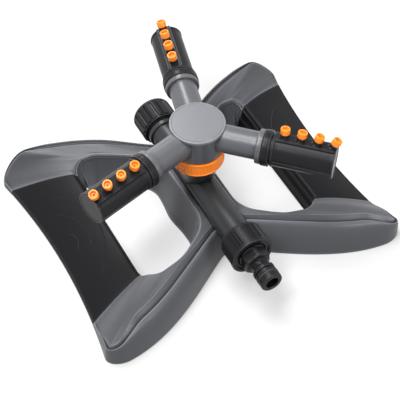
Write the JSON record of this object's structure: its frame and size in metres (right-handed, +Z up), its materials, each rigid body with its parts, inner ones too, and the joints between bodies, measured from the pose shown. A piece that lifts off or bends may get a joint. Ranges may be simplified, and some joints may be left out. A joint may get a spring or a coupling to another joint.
{
  "type": "rotary sprinkler",
  "caption": "Rotary lawn sprinkler: bow-tie base with open wings, screwed hose inlet and capped outlet, spinning arms with turning spray tubes and small nozzles.",
  "frame": {"origin": "on the ground under the rotor's upright axis", "axes": "+X towards one wing of the base, -Y towards the hose inlet, +Z up"},
  "size_m": [0.2508, 0.2162, 0.1076],
  "materials": {
    "base_grey": "satin moulded plastic",
    "grip_black": "matt black soft-touch moulding",
    "tube_dark": "satin dark grey plastic",
    "ring_orange": "satin orange plastic",
    "washer_white": "smooth white plastic",
    "rotor_grey": "satin moulded plastic",
    "cap_light_grey": "satin light grey plastic",
    "rubber_black": "matt rubber",
    "clip_steel": "plain steel",
    "gloss_black": "satin black plastic",
    "nozzle_orange": "satin orange plastic"
  },
  "bodies": {
    "base": {"base_shell": "base_grey", "grip_panel_left": "grip_black", "grip_panel_right": "grip_black", "water_tube": "tube_dark", "bearing_ring": "ring_orange", "thrust_washer": "washer_white"},
    "rotor": {"rotor_hub": "rotor_grey", "hub_cap": "cap_light_grey", "stem_seal": "rubber_black", "stem_clip": "clip_steel", "arm_seal_left": "rubber_black", "arm_seal_right": "rubber_black", "arm_seal_back": "rubber_black"},
    "inlet_fitting": {"inlet_nipple": "gloss_black", "nipple_ring": "rubber_black", "inlet_washer": "rubber_black"},
    "inlet_union_nut": {"inlet_nut": "gloss_black"},
    "outlet_washer": {"end_cap_washer": "rubber_black"},
    "outlet_cap": {"end_cap": "gloss_black"},
    "spray_left": {"spray_tube_left": "gloss_black", "nozzle_left_1": "nozzle_orange", "nozzle_left_2": "nozzle_orange", "nozzle_left_3": "nozzle_orange", "nozzle_left_4": "nozzle_orange"},
    "spray_right": {"spray_tube_right": "gloss_black", "nozzle_right_1": "nozzle_orange", "nozzle_right_2": "nozzle_orange", "nozzle_right_3": "nozzle_orange", "nozzle_right_4": "nozzle_orange"},
    "spray_back": {"spray_tube_back": "gloss_black", "nozzle_back_1": "nozzle_orange", "nozzle_back_2": "nozzle_orange", "nozzle_back_3": "nozzle_orange", "nozzle_back_4": "nozzle_orange"}
  },
  "joints": [
    {"name": "rotor_spin", "type": "hinge", "parent": "base", "child": "rotor", "pos_m": [0, 0, 0.0869], "axis": [0, 0, 1], "continuous": true},
    {"name": "spray_turn_left", "type": "hinge", "parent": "rotor", "child": "spray_left", "pos_m": [0, 0, 0.0869], "axis": [-0.9646, -0.2639, 0], "continuous": true},
    {"name": "spray_turn_right", "type": "hinge", "parent": "rotor", "child": "spray_right", "pos_m": [0, 0, 0.0869], "axis": [0.7108, -0.7034, 0], "continuous": true},
    {"name": "spray_turn_back", "type": "hinge", "parent": "rotor", "child": "spray_back", "pos_m": [0, 0, 0.0869], "axis": [0.2538, 0.9673, 0], "continuous": true},
    {"name": "inlet_travel", "type": "slide", "parent": "base", "child": "inlet_fitting", "axis": [0, -1, 0], "range_m": [0, 0.0073]},
    {"name": "inlet_nut_turn", "type": "hinge", "parent": "inlet_fitting", "child": "inlet_union_nut", "pos_m": [0, -0.0635, 0.0353], "axis": [0, -1, 0], "range_deg": [0, 1440]},
    {"name": "outlet_travel", "type": "slide", "parent": "base", "child": "outlet_washer", "axis": [0, 1, 0], "range_m": [0, 0.0073]},
    {"name": "outlet_cap_turn", "type": "hinge", "parent": "outlet_washer", "child": "outlet_cap", "pos_m": [0, 0.058, 0.0353], "axis": [0, 1, 0], "range_deg": [0, 1440]}
  ],
  "couplings": [
    {"joint": "inlet_travel", "follows": "inlet_nut_turn", "m_per_rad": 0.00028871},
    {"joint": "outlet_travel", "follows": "outlet_cap_turn", "m_per_rad": 0.00028871}
  ]
}
